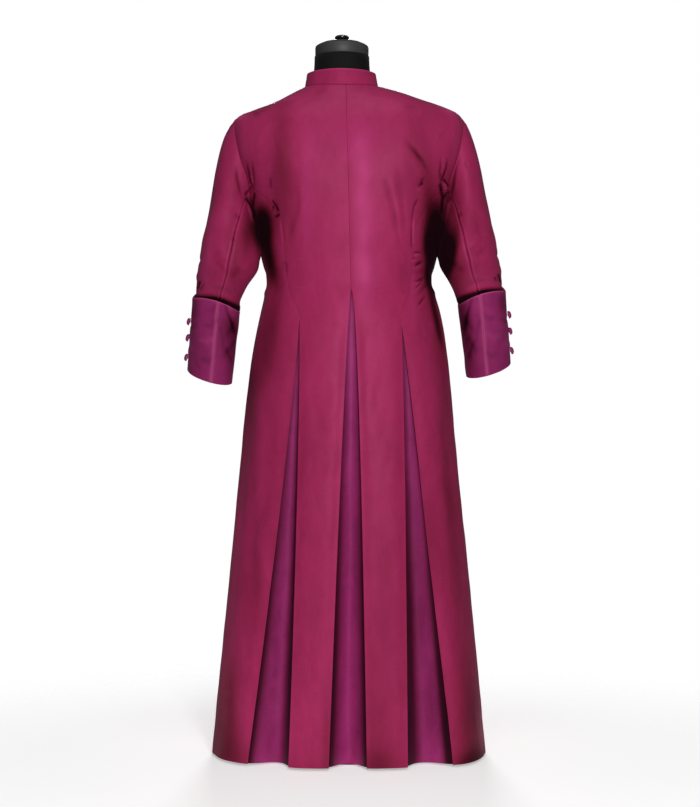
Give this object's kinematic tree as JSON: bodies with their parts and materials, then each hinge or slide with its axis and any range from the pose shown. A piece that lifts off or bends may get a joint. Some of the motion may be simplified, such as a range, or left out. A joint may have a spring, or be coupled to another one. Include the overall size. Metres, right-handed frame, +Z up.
{
  "type": "cassock on a dress form",
  "caption": "Ankle-length cassock with a fitted back, inverted skirt pleats, stand collar and deep gauntlet cuffs, worn by a limbless dress form on a round base.",
  "frame": {"origin": "middle of the underside of the form's round base, on the surface that it stands on", "axes": "+Z up along the form's pole; -Y the way the wearer faces, so the pleated back faces +Y; +X towards the wearer's left"},
  "size_m": [0.681, 0.3721, 1.471],
  "materials": {
    "wine_cloth": "wine-red taffeta with a soft sheen",
    "purple_cloth": "deep purple taffeta with a soft sheen",
    "button_cloth": "magenta satin drawn over a button mould",
    "form_cloth": "black jersey over a moulded torso",
    "form_band": "dark grey, satin",
    "form_gloss": "black lacquer",
    "form_metal": "black paint, satin"
  },
  "bodies": {
    "root": {"back_left": "wine_cloth", "back_right": "wine_cloth", "side_back_left": "wine_cloth", "side_back_right": "wine_cloth", "front_left": "wine_cloth", "front_right": "wine_cloth", "collar": "wine_cloth", "sleeve_top_left": "wine_cloth", "sleeve_top_right": "wine_cloth", "sleeve_under_left": "wine_cloth", "sleeve_under_right": "wine_cloth", "pleat_centre": "purple_cloth", "pleat_left": "purple_cloth", "pleat_right": "purple_cloth", "cuff_outer_left": "purple_cloth", "cuff_outer_right": "purple_cloth", "cuff_inner_left": "purple_cloth", "cuff_inner_right": "purple_cloth", "cuff_button_left_1": "button_cloth", "cuff_button_left_2": "button_cloth", "cuff_button_left_3": "button_cloth", "cuff_button_right_1": "button_cloth", "cuff_button_right_2": "button_cloth", "cuff_button_right_3": "button_cloth", "front_button_01": "button_cloth", "front_button_02": "button_cloth", "front_button_03": "button_cloth", "front_button_04": "button_cloth", "front_button_05": "button_cloth", "front_button_06": "button_cloth", "front_button_07": "button_cloth", "front_button_08": "button_cloth", "front_button_09": "button_cloth", "front_button_10": "button_cloth", "front_button_11": "button_cloth", "front_button_12": "button_cloth", "front_button_13": "button_cloth", "front_button_14": "button_cloth", "form_body": "form_cloth", "form_cap": "form_band", "form_knob": "form_gloss", "form_pole": "form_metal", "form_base": "form_metal"}
  },
  "joints": []
}
